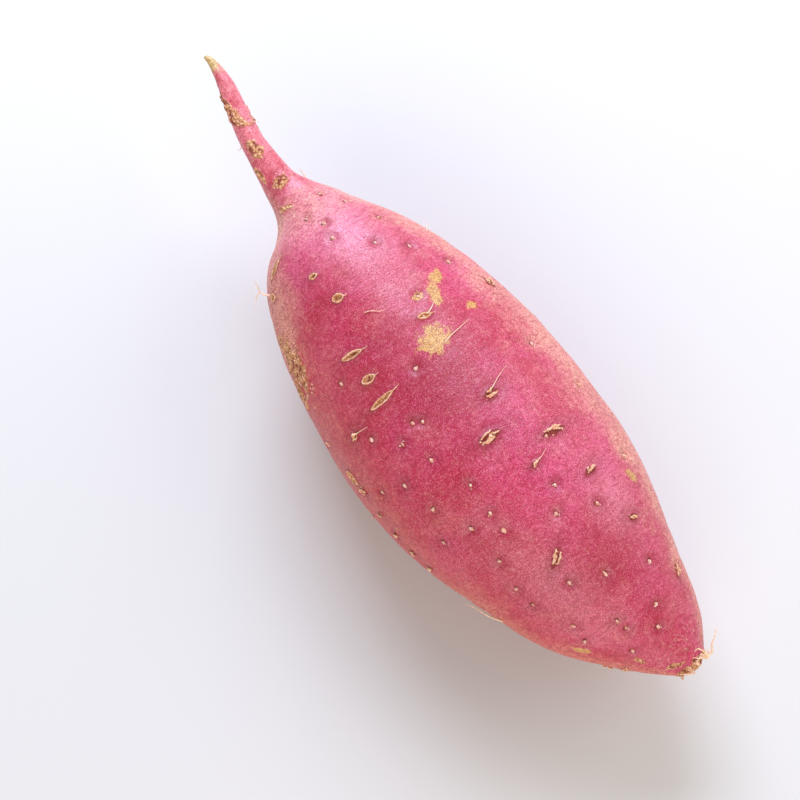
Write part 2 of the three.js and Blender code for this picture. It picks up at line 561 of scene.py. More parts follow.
class Place:
    """A spot on the skin, in millimetres: its point, its normal, and its ways along and across."""

    def __init__(self, surface, along, around):
        turn = math.radians(around)
        way = Vector((0, math.sin(turn), math.cos(turn)))
        self.at, self.facing, _, _ = surface.ray_cast(centre_at(along), way)
        lengthwise = Vector((1, 0, 0))
        self.across = self.facing.cross(lengthwise).normalized()
        self.along = self.across.cross(self.facing).normalized()

    def direction(self, turn):
        """A direction in the skin, turned from along the root towards across it."""
        turn = math.radians(turn)
        return self.along * math.cos(turn) + self.across * math.sin(turn)


smooth_skin = surface_tree(skin)
print("centre line of", len(stations), "sections")

# %% [markdown]
# ## What the skin carries
# Four kinds of mark sit on the visible side, and their places are listed one by one:
#
# - pores: long breathing slits with a raised lip of cork, which lie across the root;
# - torn pores: pores whose cork has burst into crumbs;
# - scars: small stubs in a dimple, where a hair root has fallen off;
# - patches: flat ochre stains, and rough crusts where the skin has healed.
#
# Blushes are soft spots where the skin is paler or deeper; the paler ones on the shoulder and the
# right side are painted highlights. The far side and the belly get their marks from a rule with a
# fixed seed, kept apart and clear of the floor.

# %% List the marks
# along, around, length, width, turn: millimetres and degrees
PORES = [
    (-42.0, -54, 5.5, 1.9, 110), (-37.6, -68, 3.0, 2.4, 60), (-32.1, -25, 2.2, 1.7, 70),
    (-23.2, -20, 3.0, 2.3, 65), (-10.1, -32, 5.8, 1.7, 74), (-2.7, -32, 3.8, 2.2, 76),
    (3.4, -33, 7.0, 1.6, 88), (-5.5, 9, 3.4, 1.7, 72), (10.0, -78, 4.6, 3.0, 20),
]
TORN_PORES = [
    (19.3, 9, 3.6, 1.9, 86), (27.4, -5, 5.6, 2.4, 84), (35.5, 21, 6.0, 1.9, 82),
    (58.4, -20, 5.2, 1.4, 124), (4.2, -57, 3.4, 1.5, 92), (38.8, 3, 2.6, 1.1, 96),
    (47.9, 23, 3.4, 1.6, 92), (62.3, 32, 2.8, 1.6, 74), (-4.8, 58, 3.6, 1.6, 20),
    (78.1, 48, 3.2, 1.4, 10), (14.5, -76, 2.6, 1.3, 20), (21.5, -78, 2.0, 1.2, 60),
    (27.4, -81, 2.8, 1.2, 100), (33.5, -83, 2.4, 1.4, 30), (38.9, -84, 2.2, 1.2, 80),
]
# along, around
SCARS = [
    (-50.8, 26), (-44.5, 41), (-46.6, -6), (-34.8, 41), (-28.8, 20), (-23.1, 35), (-14.3, 46),
    (14.8, 49), (29.4, 58), (3.3, -11), (-7.4, -47), (12.7, -28), (14.0, -24), (8.1, -50),
    (14.7, -38), (22.3, -32), (22.0, -50), (33.0, -26), (18.7, -64), (31.0, -47), (40.9, -28),
    (45.8, -29), (40.4, -40), (37.9, -56), (50.2, -42), (57.4, -49), (62.6, -51), (45.6, 4),
    (55.0, 16), (50.8, -5), (49.8, 51), (68.6, -4), (72.7, 27), (64.6, -24), (81.2, 10),
    (78.3, -23), (80.9, -24), (85.6, -4), (72.6, -47), (76.8, -55), (85.8, -45), (-10.5, 14),
    (-42.0, 6), (-36.8, 2),
]
# along, around, length, width, turn
STAINS = [
    (0.8, 5, 7.6, 6.2, 100), (-9.2, 23, 7.0, 3.2, 150), (-12.0, 30, 5.0, 3.0, 120),
    (-1.3, 35, 3.2, 2.2, 90), (54.6, 46, 4.4, 2.6, 40), (77.3, -67, 5.0, 2.2, 10),
    (-10.5, 14, 2.4, 2.0, 90),
]
CRUSTS = [
    (-21.0, -73, 16.0, 7.0, 4), (-14.5, -82, 8.0, 4.4, 0), (-84.0, -52, 14.0, 2.6, 0),
    (-79.5, -24, 5.0, 2.0, 40), (-71.0, -12, 6.0, 3.0, 0), (-65.7, -54, 5.0, 1.8, 0),
    (-60.6, -4, 3.6, 4.2, 60), (-54.2, -39, 5.0, 1.6, 60), (95.0, -36, 5.0, 1.6, 60),
    (88.4, -54, 3.0, 1.4, 0),
]
# along, around, size in millimetres, and how much paler it is there, or below 0 how much deeper; the paler
# spots at along -38, 26, 41 and 57 are painted highlights
BLUSHES_AND_HIGHLIGHTS = [
    (10, -3, 14, -0.85), (-6, -12, 9, -0.55), (66, 4, 11, -0.52), (-30, -34, 9, -0.16),
    (41, 48, 12, 0.14), (57, 24, 8, 0.52), (26, 44, 10, 0.12), (62, -30, 9, 0.24), (-38, 14, 15, 0.46),
]
HIDDEN_SEED, HIDDEN_MARKS = 11, 64
APART, CLEAR_OF_FLOOR = 6, 2.5


def hidden_places(count, draw):
    """Places on the far side and the belly, as along and around, none too close to another."""
    spots, places = [], []
    while len(places) < count:
        place = draw.uniform(-44, 90), draw.uniform(84, 276)
        spot = Place(smooth_skin, *place).at
        if spot.z > CLEAR_OF_FLOOR and all((spot - other).length > APART for other in spots):
            spots.append(spot)
            places.append(place)
    return places


def rows(places, *spans):
    """A row for each place: along, around, and a number drawn from each span."""
    return [(*place, *(draw.uniform(*span) for span in spans)) for place in places]


draw = random.Random(HIDDEN_SEED)
hidden = hidden_places(HIDDEN_MARKS, draw)
PORES += rows(hidden[:12], (2.2, 6.5), (1.4, 2.4), (60, 115))
TORN_PORES += rows(hidden[12:20], (2.6, 5.5), (1.3, 2.2), (50, 125))
STAINS += rows(hidden[20:25], (3.0, 7.0), (2.0, 5.0), (0, 180))
SCARS += hidden[25:]
print(len(PORES), "pores,", len(TORN_PORES), "torn pores,", len(SCARS), "scars,", len(STAINS), "stains")

# %% Find each mark on the skin
class Mark(Place):
    """A long spot on the skin, with the directions of its long and its short side."""

    def __init__(self, along, around, length=2.0, width=2.0, turn=0.0):
        super().__init__(smooth_skin, along, around)
        self.half_length, self.half_width = length / 2, width / 2
        self.long_way = self.direction(turn)
        self.side_way = self.facing.cross(self.long_way)


pores = [Mark(*row) for row in PORES]
torn_pores = [Mark(*row) for row in TORN_PORES]
scars = [Mark(*row) for row in SCARS]
stains = [Mark(*row) for row in STAINS]
crusts = [Mark(*row) for row in CRUSTS]
print("first pore at", [round(c, 1) for c in pores[0].at], "mm")

# %% [markdown]
# ## Finer faces where the marks are
# A slit half a millimetre wide needs faces smaller than that, but the whole root doesn't. So only
# the faces near a mark are cut in four, and those right at a pore once more.

# %% Divide the skin near the marks
def divide_near(holder, spots, margin):
    """Cuts in four each face whose middle is within an oval that margin wider than a mark."""
    shape = bmesh.new()
    shape.from_mesh(holder.data)
    middles = np.array([face.calc_center_median() for face in shape.faces]) / MM
    close = np.zeros(len(middles), bool)
    for spot in spots:
        away = middles - spot.at
        long_part = away @ spot.long_way / (spot.half_length + margin)
        side_part = away @ spot.side_way / (spot.half_width + margin)
        lift_part = away @ spot.facing / (spot.half_length + margin)
        close |= long_part ** 2 + side_part ** 2 + lift_part ** 2 < 1
    faces = list(shape.faces)
    edges = {edge for index in np.nonzero(close)[0] for edge in faces[index].edges}
    bmesh.ops.subdivide_edges(shape, edges=list(edges), cuts=1, use_grid_fill=True)
    shape.to_mesh(holder.data)
    shape.free()


WIDE_MARGIN, CLOSE_MARGIN = 1.0, 0.5
stem_end = Mark(95.0, 0.0, 8.0, 8.0)
divide_near(skin, pores + torn_pores + scars + stains + crusts + [stem_end], WIDE_MARGIN)
divide_near(skin, pores + torn_pores, CLOSE_MARGIN)
print("divided skin:", len(skin.data.polygons), "faces")

# %% [markdown]
# ## Relief and masks
# Each mark lifts or lowers the points near it, along their own normals, and paints them in one of
# the masks. It could be sculpted by hand, but numbers in millimetres are easier to change and give
# the same skin each time. A pore's outline is a pointed oval: a superellipse with an exponent
# below 2. Low waves of noise come first, because no root is smooth.

# %% Measure the skin's points
skin_mesh = skin.data


def read_vectors(items, label):
    """One row of three numbers for each item."""
    flat = np.empty(len(items) * 3)
    items.foreach_get(label, flat)
    return flat.reshape(-1, 3)


points = read_vectors(skin_mesh.vertices, "co") / MM
facings = read_vectors(skin_mesh.vertex_normals, "vector")
alongs = points[:, 0]
arounds = np.degrees(np.arctan2(
    points[:, 1] - np.interp(alongs, stations, centre_y),
    points[:, 2] - np.interp(alongs, stations, centre_z),
))
lift = np.zeros(len(points))
MASKS = (
    "dust_and_sheen", "pale", "brick", "deep", "flecked", "flush_and_dimple_shade", "hollow_shade", "ochre", "corky", "straw", "crumbs",
)
masks = {name: np.zeros(len(points)) for name in MASKS}
print("measured", len(points), "points")


# %% Raise low waves
EVERYWHERE = slice(None)
POINTED, ROUND = 1.6, 2.0
# height and size in millimetres, and octaves
WAVES = [(0.30, 16.0, 3), (0.10, 5.0, 2)]


def noise_at(places, size, seed, octaves=3):
    """Noise from about -1 to 1 at each place, in blobs about `size` mm across."""
    shift = Vector((seed * 17.3, seed * 5.1, seed * 9.7))
    return np.array([noise.fractal(Vector(p) / size + shift, 1.0, 2.0, octaves) for p in places])


def smooth_step(values, start, end):
    """0 up to the start and 1 from the end on, with a soft slope between them."""
    share = np.clip((values - start) / (end - start), 0, 1)
    return share * share * (3 - 2 * share)


def bell(values, middle, width):
    """1 in the middle, and almost 0 from two widths on."""
    return np.exp(-(((values - middle) / width) ** 2))


def around_mark(mark, reach, exponent=POINTED):
    """The points within reach of a mark, and how far out each is: 1 on the mark's outline."""
    away = points - mark.at
    near = np.nonzero((away ** 2).sum(1) < reach ** 2)[0]
    long_part = np.abs(away[near] @ mark.long_way) / mark.half_length
    side_part = np.abs(away[near] @ mark.side_way) / mark.half_width
    return near, (long_part ** exponent + side_part ** exponent) ** (1 / exponent)


def paint_mask(name, near, amount):
    masks[name][near] = np.maximum(masks[name][near], amount)


for seed, (height, size, octaves) in enumerate(WAVES, 1):
    lift += height * noise_at(points, size, seed, octaves)
print("waves up to", round(lift.max(), 2), "mm high")


# %% Shape the pores
PORE_SWELL, PORE_RIM, PORE_DIP = 0.20, 0.15, 0.35
TORN_SWELL, TORN_LUMPS, TORN_DITCH = 0.15, 0.6, 0.25


def shape_pore(mark):
    """A low swelling with a rim of cork, and cork cells that sink towards its middle."""
    near, out = around_mark(mark, mark.half_length * 3 + 1)
    lift[near] += PORE_SWELL * bell(out, 0, 2.2)
    lift[near] += PORE_RIM * bell(out, 1.05, 0.25)
    lift[near] -= PORE_DIP * smooth_step(-out, -0.95, -0.3)
    paint_mask("corky", near, smooth_step(-out, -1.3, -0.9))
    # Painted shade, dark brown: a line round the lip, and in the slit among the cork cells.
    paint_mask("hollow_shade", near, 0.62 * bell(out, 1.25, 0.16))
    paint_mask("crumbs", near, 0.34 * smooth_step(-out, -1.0, -0.7))
    cells = noise_at(points[near], 0.55, 9, 2)
    paint_mask("hollow_shade", near, smooth_step(-out, -0.85, -0.3) * smooth_step(cells, -0.1, 0.35))
    paint_mask("flush_and_dimple_shade", near, 0.8 * bell(out, 0, 2.2))


def shape_torn_pore(mark):
    """A lumpy patch of burst cork in a shallow ditch."""
    near, out = around_mark(mark, mark.half_length * 3 + 1)
    ragged = 0.5 * noise_at(points[near], 0.8, 3, 3)
    lumps = TORN_LUMPS * ragged * smooth_step(-out, -1.2, -0.6)
    lift[near] += TORN_SWELL * bell(out, 0, 2.0) + lumps
    lift[near] -= TORN_DITCH * bell(out, 1.8, 0.7)
    paint_mask("corky", near, 0.7 * smooth_step(-out - ragged, -0.8, -0.4))
    # Painted shade, dark brown, in the torn pore under its shreds.
    paint_mask("hollow_shade", near, smooth_step(-out - 0.8 * ragged, -1.35, -0.9))
    paint_mask("flush_and_dimple_shade", near, bell(out, 0, 2.8))
    paint_mask("crumbs", near, 0.4 * smooth_step(-out, -1.15, -0.8))


for mark in pores:
    shape_pore(mark)
for mark in torn_pores:
    shape_torn_pore(mark)
print("highest pore", round(lift.max(), 2), "mm")


# %% Shape the scars and patches
DIMPLE_DEPTHS, SHADOW_TURNS, DIMPLE_SHADES = (0.3, 0.65), (120, 260), (0.6, 1.0)
DIMPLE_REACH, DIMPLE_WIDTH, RIM_AT, RIM_WIDTH = 5.0, 1.6, 2.3, 0.7
STAIN_HEIGHT, CRUST_HEIGHT = 0.10, 0.2


def shape_scar(mark, depth, shadow_turn, dimple_shade):
    """A dimple with a low rim and painted shade over it, and a painted shadow on one side of the stub."""
    away = points - mark.at
    near = np.nonzero((away ** 2).sum(1) < DIMPLE_REACH ** 2)[0]
    out = np.sqrt((away[near] ** 2).sum(1))
    lift[near] -= depth * bell(out, 0, DIMPLE_WIDTH)
    lift[near] += 0.3 * depth * bell(out, RIM_AT, RIM_WIDTH)
    # A painted shadow, dark brown, on one side of the stub, and painted shade over the dimple.
    beside = away[near] - np.array(mark.direction(shadow_turn)) * 0.45
    paint_mask("hollow_shade", near, 1.1 * np.exp(-((beside ** 2).sum(1) / 0.60 ** 2)))
    paint_mask("flush_and_dimple_shade", near, dimple_shade * bell(out, 0, RIM_AT))


def shape_patch(mark, name, height):
    """A ragged patch in that mask, raised by the height."""
    near, out = around_mark(mark, mark.half_length * 2.2, ROUND)
    ragged = 0.55 * noise_at(points[near], 1.8, 4, 3)
    inside = smooth_step(-out - ragged, -1.5, -0.5)
    lift[near] += height * inside * (0.6 + 0.8 * noise_at(points[near], 1.0, 5, 2))
    paint_mask(name, near, inside)
    return near, inside


for mark in scars:
    shape_scar(mark, draw.uniform(*DIMPLE_DEPTHS), draw.uniform(*SHADOW_TURNS), draw.uniform(*DIMPLE_SHADES))
for mark in stains:
    shape_patch(mark, "ochre", STAIN_HEIGHT)
for mark in crusts:
    near, inside = shape_patch(mark, "corky", CRUST_HEIGHT + 0.17 * mark.half_width)
    gaps = noise_at(points[near], 0.9, 12, 2)
    paint_mask("crumbs", near, inside * 0.8 * smooth_step(gaps, -0.2, 0.2))
    # Painted shade, dark brown, in the gaps between the crumbs of a crust.
    paint_mask("hollow_shade", near, inside * smooth_step(-gaps, 0.08, 0.4))
print("highest relief", round(lift.max(), 2), "mm and lowest", round(lift.min(), 2), "mm")

# %% Finish the two ends
STEM_SCAR, STRAW_TIP = (96.2, 97.2), (91.0, 96.0)
stem_scar = smooth_step(alongs + noise_at(points, 1.8, 6), *STEM_SCAR)
knobs = noise_at(points, 1.3, 7)
lift += stem_scar * (0.2 + 0.5 * knobs)
paint_mask("corky", EVERYWHERE, stem_scar)
paint_mask("crumbs", EVERYWHERE, 0.15 * stem_scar)
# Painted shade, dark brown, between the knobs of the stem scar.
paint_mask("hollow_shade", EVERYWHERE, stem_scar * smooth_step(-knobs, -0.25, 0.3))
masks["straw"] = smooth_step(-alongs + 1.5 * noise_at(points, 2.0, 13), *STRAW_TIP)
print("the stem scar covers", int((stem_scar > 0.5).sum()), "points")

# %% Paint dust and a painted sheen on the sides, and the brick flank
# The sides start that many degrees from the top, and where they start changes along the root.
# The tan on the two sides is dust and also a painted sheen, where the skin turns away at the edges seen
# from above.
drift = 0.30 * noise_at(points, 14.0, 8)
right_side = smooth_step(arounds + 14 * noise_at(points, 9.0, 14), 32, 64) * (0.84 + drift)
left_start = 44 - 14 * smooth_step(-alongs, 20, 34) + 12 * smooth_step(alongs, 10, 40)
left_side = smooth_step(-arounds + 8 * noise_at(points, 7.0, 16) - left_start, 0, 30) * (0.95 + drift)
left_side *= 1 - 0.5 * smooth_step(alongs, 10, 50)
left_side *= 1 - 0.8 * smooth_step(alongs, -28, -12) * smooth_step(-alongs, -52, -30)
shoulder = 0.44 * smooth_step(-alongs, 36, 48) * smooth_step(alongs, -60, -54)
belly = smooth_step(np.abs(arounds) + 18 * noise_at(points, 12.0, 18), 92, 130)
masks["dust_and_sheen"] = np.clip(np.maximum(np.maximum(right_side, left_side), shoulder), 0, 1)
masks["dust_and_sheen"] *= smooth_step(alongs, -66, -52) * (1 - 0.75 * belly)
flank = -arounds - 16 * smooth_step(alongs, 15, 45)
masks["brick"] = 0.85 * smooth_step(flank, 30, 72) * smooth_step(alongs, -50, -20)
paint_mask("brick", EVERYWHERE, 0.5 * smooth_step(-alongs, 52, 68))
print("dusty share of the skin:", round(masks["dust_and_sheen"].mean(), 2))

# %% Paint the blushes, with their painted highlights, and the flecks
# Paler skin towards the neck and the tail; the paler blushes on the shoulder and the right side are painted
# highlights.
pale = 0.40 * smooth_step(-alongs, 36, 56) + 0.55 * smooth_step(-alongs, 60, 80)
pale = pale * (1 + noise_at(points, 5.0, 10))
for along, around, size, strength in BLUSHES_AND_HIGHLIGHTS:
    away = points - Place(smooth_skin, along, around).at
    glow = np.exp(-((away ** 2).sum(1) / size ** 2) * (1 + 0.5 * noise_at(points, 6.0, 17)))
    if strength > 0:
        pale += strength * glow
    else:
        paint_mask("deep", EVERYWHERE, -strength * glow)
masks["pale"] = np.clip(pale, 0, 0.9)
neck = 0.55 * smooth_step(alongs, -66, -58) * smooth_step(-alongs, 38, 50)
rims = 0.5 * smooth_step(masks["dust_and_sheen"], 0.35, 0.8) + 0.4 * smooth_step(alongs, 84, 93)
masks["flecked"] = np.clip(neck + rims, 0, 1) * smooth_step(noise_at(points, 7.0, 15), -0.5, 0.2)
print("blushes:", len(BLUSHES_AND_HIGHLIGHTS))

# %% Move the points
# The relief fades out at the belly, which rests flat on the floor.
FADE_HEIGHT = 1.5
lift *= smooth_step(points[:, 2], 0.0, FADE_HEIGHT)
points += facings * lift[:, None]
points[:, 2] = np.maximum(points[:, 2], low.z / MM)
skin_mesh.vertices.foreach_set("co", (points * MM).ravel())
for name, values in masks.items():
    skin_mesh.attributes.new(name, "FLOAT", "POINT").data.foreach_set("value", values)
for face in skin_mesh.polygons:
    face.use_smooth = True
skin_mesh.materials.clear()
skin_mesh.materials.append(SKIN)
skin_mesh.update()
relief = surface_tree(skin)
print("shaped skin:", sum(len(face.vertices) - 2 for face in skin_mesh.polygons), "triangles")

# %% [markdown]
# ## Strands: pore lips and hair roots
# A pore's lip and a hair root are both a strand along a line on the skin: a lip is a closed, thick
# and ragged one, and a hair root an open one that tapers. Curves with a round bevel could do it,
# but one Geometry Nodes tree makes both from any number of lines. It smooths the line, sweeps a
# ring along it at the line's own girth, and roughens the result.

# %% Start and end a tree
def geometry_tree(name, numbers):
    """An empty Geometry Nodes tree with those named numbers, and its sockets."""
    return new_group(name, "GeometryNodeTree", "Geometry", numbers, {"Geometry": "Geometry"})


def roughen(tree, shape, given, knob_size):
    """Moves each point of a shape by noise, up to about half the raggedness each way."""
    where = made_by(tree, "GeometryNodeInputPosition")
    scale = add_maths(tree, "DIVIDE", 1.0, knob_size)
    push = add_node(
        tree, "ShaderNodeTexNoise",
        {"Vector": where, "W": given["Seed"], "Scale": scale, "Detail": 2.0},
        noise_dimensions="4D",
    ).outputs["Color"]
    centred = made_by(tree, "ShaderNodeVectorMath", {0: push, 1: (0.5, 0.5, 0.5)}, operation="SUBTRACT")
    offset = made_by(
        tree, "ShaderNodeVectorMath",
        {0: centred, "Scale": given["Raggedness"]}, operation="SCALE",
    )
    return made_by(tree, "GeometryNodeSetPosition", {"Geometry": shape, "Offset": offset})


def end_tree(tree, given, result, shape, knob_size, material):
    """The last steps of a tree: rough points, smooth shading, real faces and the material."""
    rough = roughen(tree, shape, given, knob_size)
    smooth = made_by(tree, "GeometryNodeSetShadeSmooth", {"Geometry": rough})
    real = made_by(tree, "GeometryNodeRealizeInstances", {"Geometry": smooth})
    dressed = made_by(tree, "GeometryNodeSetMaterial", {"Geometry": real, "Material": material})
    tree.links.new(dressed, result[0])


def named_attribute(tree, name, kind):
    return made_by(tree, "GeometryNodeInputNamedAttribute", {"Name": name}, data_type=kind)


# %% Build the strand trees
def make_strand_tree(material):
    tree, given, result = geometry_tree(
        "strand " + material.name,
        {"Step": 0.3 * MM, "Sides": 6, "Raggedness": 0.1 * MM, "Knob Size": 0.5 * MM, "Seed": 1.0},
    )
    line = made_by(tree, "GeometryNodeMeshToCurve", {"Mesh": given["Geometry"]})
    curved = made_by(tree, "GeometryNodeCurveSplineType", {"Curve": line}, spline_type="CATMULL_ROM")
    even = made_by(
        tree, "GeometryNodeResampleCurve",
        {"Curve": curved, "Length": given["Step"]}, mode="LENGTH",
    )
    sides = made_by(tree, "FunctionNodeFloatToInt", {0: given["Sides"]})
    ring = made_by(
        tree, "GeometryNodeCurvePrimitiveCircle", {"Resolution": sides, "Radius": 1.0}, mode="RADIUS"
    )
    girth = named_attribute(tree, "girth", "FLOAT")
    swept = made_by(
        tree, "GeometryNodeCurveToMesh",
        {"Curve": even, "Profile Curve": ring, "Scale": girth, "Fill Caps": True},
    )
    end_tree(tree, given, result, swept, given["Knob Size"], material)
    return tree


def grow(holder, tree, **settings):
    """Runs a tree on an object with those inputs, and keeps what it makes as a plain mesh."""
    modifier = holder.modifiers.new(tree.name, "NODES")
    modifier.node_group = tree
    for item in tree.interface.items_tree:
        label = item.name.replace(" ", "_").lower()
        if item.in_out == "INPUT" and label in settings:
            modifier[item.identifier] = float(settings[label])
    bake_modifiers(holder)


def lines_object(name, lines):
    """An object whose edges follow the lines. Each line is closed or open, with points and girths."""
    at, edges, girths = [], [], []
    for closed, line, girth in lines:
        first = len(at)
        at.extend(Vector(p) * MM for p in line)
        girths.extend(g * MM for g in girth)
        edges.extend((first + i, first + i + 1) for i in range(len(line) - 1))
        if closed:
            edges.append((len(at) - 1, first))
    mesh = bpy.data.meshes.new(name)
    mesh.from_pydata(at, edges, [])
    mesh.attributes.new("girth", "FLOAT", "POINT").data.foreach_set("value", girths)
    return add_object(name, mesh)


cork_strands, hair_strands = make_strand_tree(DRY_CORK), make_strand_tree(HAIR)
print("trees:", cork_strands.name, "and", hair_strands.name)

# %% Lay a lip round each pore
LIP_POINTS, LIP_GIRTH, LIP_HEIGHT = 22, 0.14, 0.035
SHRED_POINTS = 6
LONG_PORE = 1.4
# how far round the stem end in degrees, and how long in millimetres
STEM_FIBRES = ((-70, 1.6), (-30, 2.2), (10, 1.7), (60, 1.3))
FIBRE_SHARES, FIBRE_GIRTHS = (-0.2, 0.3, 0.7, 1.0), [0.5, 0.42, 0.34, 0.12]


def above_skin(near, height):
    """The point at that height over the skin's nearest spot, in millimetres."""
    spot, facing, _, _ = relief.find_nearest(near)
    return spot + facing * height


def lip_line(mark, seed):
    """A closed line on the skin round a pore, thin in places where the lip has worn away."""
    line, girths = [], []
    pick = random.Random(seed)
    worn = pick.uniform(0, math.tau)
    for step in range(LIP_POINTS):
        angle = math.tau * step / LIP_POINTS
        across, up = math.cos(angle), math.sin(angle)
        out = (abs(across) ** POINTED + abs(up) ** POINTED) ** (-1 / POINTED)
        flat = mark.at + mark.long_way * (across * out * mark.half_length)
        line.append(above_skin(flat + mark.side_way * (up * out * mark.half_width), LIP_HEIGHT))
        girths.append(LIP_GIRTH * (0.95 + 0.35 * math.cos(angle - worn) + pick.uniform(-0.22, 0.22)))
    return True, line, girths


def shred_line(mark, pick):
    """A torn strip of cork lying lengthwise in a torn pore, thin at both ends."""
    start, end = sorted((pick.uniform(-1.0, 0.2), pick.uniform(-0.2, 1.0)))
    side = pick.uniform(-0.75, 0.75)
    line, girths = [], []
    for step in range(SHRED_POINTS):
        share = step / (SHRED_POINTS - 1)
        side += pick.uniform(-0.3, 0.3)
        flat = mark.at + mark.long_way * ((start + (end - start) * share) * mark.half_length)
        line.append(above_skin(flat + mark.side_way * (side * mark.half_width), pick.uniform(0.05, 0.45)))
        girths.append(0.07 + 0.19 * math.sin(math.pi * (0.12 + 0.76 * share)))
    return False, line, girths


def tail_line(mark):
    """The fine closed crack in which a long pore's lip runs on from one end."""
    line = []
    for share in (0.9, 1.1, 1.3, 1.5, 1.7):
        flat = mark.at + mark.long_way * (share * mark.half_length)
        line.append(above_skin(flat + mark.side_way * (0.5 * (share - 0.9) ** 2), 0.02))
    return False, line, [0.16, 0.13, 0.10, 0.07, 0.03]


cork_lines = [lip_line(mark, i) for i, mark in enumerate(pores)]
cork_lines.extend(tail_line(mark) for mark in pores if mark.half_length > LONG_PORE)
pick_shred = random.Random(8)
for mark in torn_pores:
    cork_lines.extend(shred_line(mark, pick_shred) for _ in range(3 + round(mark.half_length)))
for around, length in STEM_FIBRES:
    spot = Place(relief, 97.4, around)
    route = [spot.at + spot.facing * length * share for share in FIBRE_SHARES]
    cork_lines.append((False, route, FIBRE_GIRTHS))
lips = lines_object("pore_lips", cork_lines)
grow(lips, cork_strands, step=0.2 * MM, sides=7, raggedness=0.4 * MM, knob_size=0.5 * MM, seed=2)
print("pore lips:", len(lips.data.polygons), "faces")

# %% Let hair roots grow
# Each hair root: its girth, then its points as along, around and height above the skin.
HAIR_ROOTS = [
    (0.16, [(2.9, 8, 0.0), (2.4, 13, 0.2), (2.1, 19, 0.15), (1.5, 27, 0.0)]),
    (0.13, [(4.4, -56, 0.2), (4.8, -52, 0.4), (5.4, -47, 0.1)]),
    (0.12, [(19.0, 10, 0.2), (17.5, 17, 0.35), (16.2, 25, 0.1)]),
    (0.20, [(-5.5, 11, 0.1), (-5.9, 14, 0.3), (-7.2, 19, 0.1)]),
    (0.11, [(38.6, 4, 0.2), (38.4, 8, 0.5), (37.6, 12, 0.1)]),
    (0.12, [(-15.6, -13, 0.1), (-14.8, -10, 0.3), (-13.4, -7, 0.25), (-12.8, -4, 0.0)]),
    (0.26, [(-39.0, -72, 0.0), (-39.6, -74, 1.4), (-40.4, -76, 2.4), (-39.4, -78, 3.3), (-37.6, -78, 3.9)]),
    (0.18, [(-40.3, -75, 2.3), (-41.6, -72, 3.1), (-42.0, -70, 3.9)]),
    (0.17, [(-25.5, 60, 0.0), (-26.0, 62, 0.9), (-27.4, 63, 1.6)]),
    (0.20, [(-58.6, 80, 0.0), (-59.8, 84, 0.8), (-60.8, 80, 1.3)]),
    (0.13, [(-77.5, 60, 0.0), (-77.0, 66, 0.9), (-77.8, 70, 1.6)]),
    (0.13, [(-75.0, -96, 0.0), (-74.4, -98, 0.8), (-75.4, -100, 1.3)]),
    (0.22, [(60.0, -84, 0.0), (56.5, -85, 0.9), (52.5, -84, 1.3), (50.5, -84, 1.9)]),
    (0.44, [(96.6, 34, 0.2), (97.4, 40, 1.2), (97.2, 46, 2.2), (95.8, 46, 3.0), (94.0, 42, 3.8),
            (92.6, 44, 4.6), (91.6, 50, 4.4)]),
    (0.36, [(96.8, 60, 0.2), (97.4, 52, 1.2), (96.4, 44, 2.0), (95.2, 48, 1.7)]),
    (0.34, [(97.0, 20, 0.2), (96.8, 26, 1.6), (95.4, 30, 2.2), (94.2, 22, 1.6), (94.6, 16, 0.9)]),
    (0.32, [(97.4, -20, 0.0), (98.0, -28, 1.0), (97.5, -44, 1.6), (96.6, -50, 1.0)]),
    (0.30, [(97.2, 0, 0.0), (97.9, 6, 1.4), (97.0, 16, 2.0), (95.6, 12, 2.1), (95.0, 4, 1.4)]),
]
HIDDEN_HAIRS = 16


def hair_line(girth, route):
    """An open line that thins to a quarter of its girth."""
    line = []
    for along, around, height in route:
        spot = Place(relief, along, around)
        line.append(spot.at + spot.facing * (height + 0.3 * girth))
    return False, line, [girth * (1 - 0.75 * i / (len(line) - 1)) for i in range(len(line))]


def hidden_hair(pick):
    """A short bent hair root somewhere on the far side."""
    along, around = pick.uniform(-50, 88), pick.uniform(88, 150) * pick.choice((1, -1))
    route = [(along, around, 0.0)]
    for height in (0.7, 1.2, 1.3):
        along += pick.uniform(-1.6, 1.6)
        around += pick.uniform(-3, 3)
        route.append((along, around, height * pick.uniform(0.5, 1.1)))
    return pick.uniform(0.1, 0.17), route


pick_hair = random.Random(5)
hairs = HAIR_ROOTS + [hidden_hair(pick_hair) for _ in range(HIDDEN_HAIRS)]
hair_roots = lines_object("hair_roots", [hair_line(*hair) for hair in hairs])
grow(hair_roots, hair_strands, step=0.25 * MM, sides=6, raggedness=0.12 * MM, knob_size=0.7 * MM, seed=3)
print("hair roots:", len(hair_roots.data.polygons), "faces")

# %% [markdown]
# ## Stubs and crumbs
# Where a hair root has fallen off, a round stub of cork is left in its dimple. Torn pores and
# crusts are covered in crumbs: flat chips of cork that lie any way round. Modelling each would
# take days, so both are one small ball that Geometry Nodes put on points, turn and squash: the
# stubs on given points, and the crumbs on points that are scattered as thickly as the skin's
# `crumbs` mask says.

# %% Build the stub and crumb trees
def balls_on(tree, points, rotation, size, segments, rings):
    """A small ball on each point, turned and stretched, as real faces."""
    ball = made_by(
        tree, "GeometryNodeMeshUVSphere", {"Segments": segments, "Rings": rings, "Radius": 1.0}
    )
    placed = made_by(
        tree, "GeometryNodeInstanceOnPoints",
        {"Points": points, "Instance": ball, "Rotation": rotation, "Scale": size},
    )
    return made_by(tree, "GeometryNodeRealizeInstances", {"Geometry": placed})


